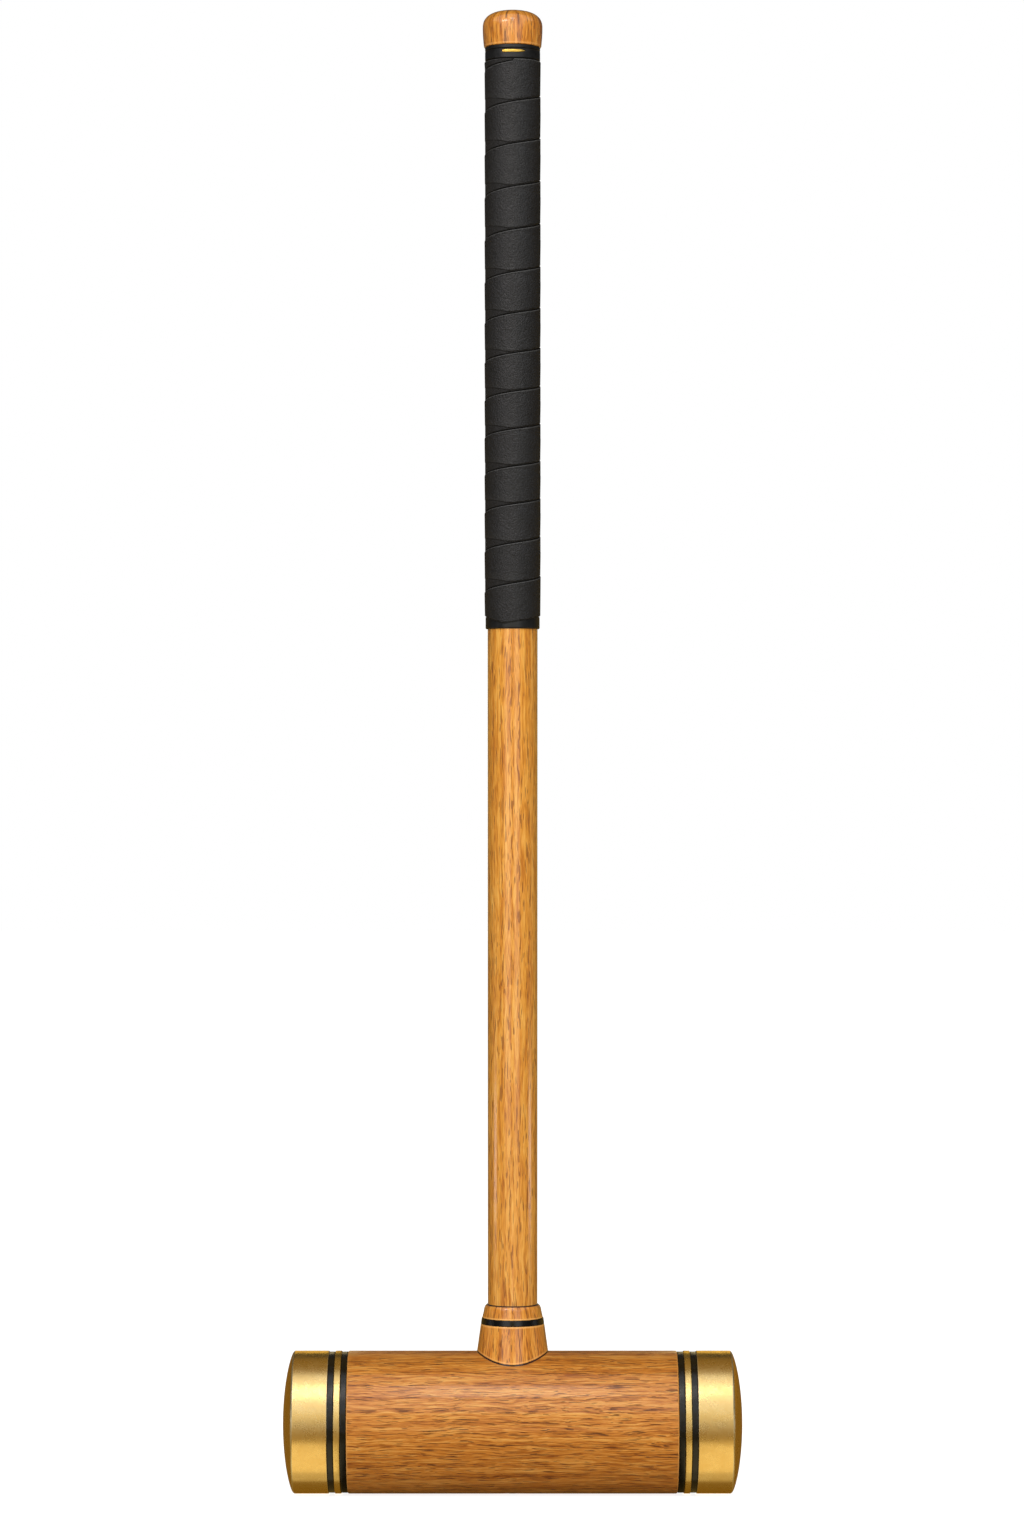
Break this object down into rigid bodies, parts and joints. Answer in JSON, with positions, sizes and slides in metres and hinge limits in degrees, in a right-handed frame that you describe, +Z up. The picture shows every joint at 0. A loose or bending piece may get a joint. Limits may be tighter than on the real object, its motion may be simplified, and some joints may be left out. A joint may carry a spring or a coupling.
{
  "type": "croquet mallet",
  "caption": "Full-size croquet mallet with a turned wooden head, domed brass face caps, a wedged wooden shaft, a black taped grip and a turned pommel, for striking croquet balls.",
  "frame": {"origin": "on the sole of the head, straight under the shaft: the middle of the bottom of the bounding box", "axes": "+Z up along the shaft towards the pommel, X along the head, and -Y the front, where the tape starts and the brass line of the upper grip band lies"},
  "size_m": [0.2674, 0.0824, 0.8636],
  "materials": {
    "head_oak": "oiled and varnished, satin",
    "cap_brass": "satin, finely scratched",
    "ring_brass": "turned, satin",
    "ring_ebonite": "polished ebonite",
    "collar_ash": "varnished, satin",
    "shaft_ash": "varnished, satin",
    "pommel_ash": "varnished, satin",
    "wedge_walnut": "oiled",
    "dowel_beech": "bare",
    "underlay_foam": "matt foam",
    "grip_rubber": "matt, finely textured",
    "grip_band_black": "half-gloss",
    "inlay_brass": "polished"
  },
  "bodies": {
    "root": {"head_block": "head_oak", "face_cap_left": "cap_brass", "outer_black_ring_left": "ring_ebonite", "brass_ring_left": "ring_brass", "inner_black_ring_left": "ring_ebonite", "face_cap_right": "cap_brass", "outer_black_ring_right": "ring_ebonite", "brass_ring_right": "ring_brass", "inner_black_ring_right": "ring_ebonite", "collar_base": "collar_ash", "collar_band": "ring_ebonite", "collar_bead": "collar_ash", "shaft": "shaft_ash", "tenon_wedge": "wedge_walnut", "grip_underlay": "underlay_foam", "grip_tape": "grip_rubber", "grip_lower_band": "grip_band_black", "grip_top_band": "grip_band_black", "band_inlay": "inlay_brass", "pommel": "pommel_ash", "pommel_dowel": "dowel_beech"}
  },
  "joints": []
}
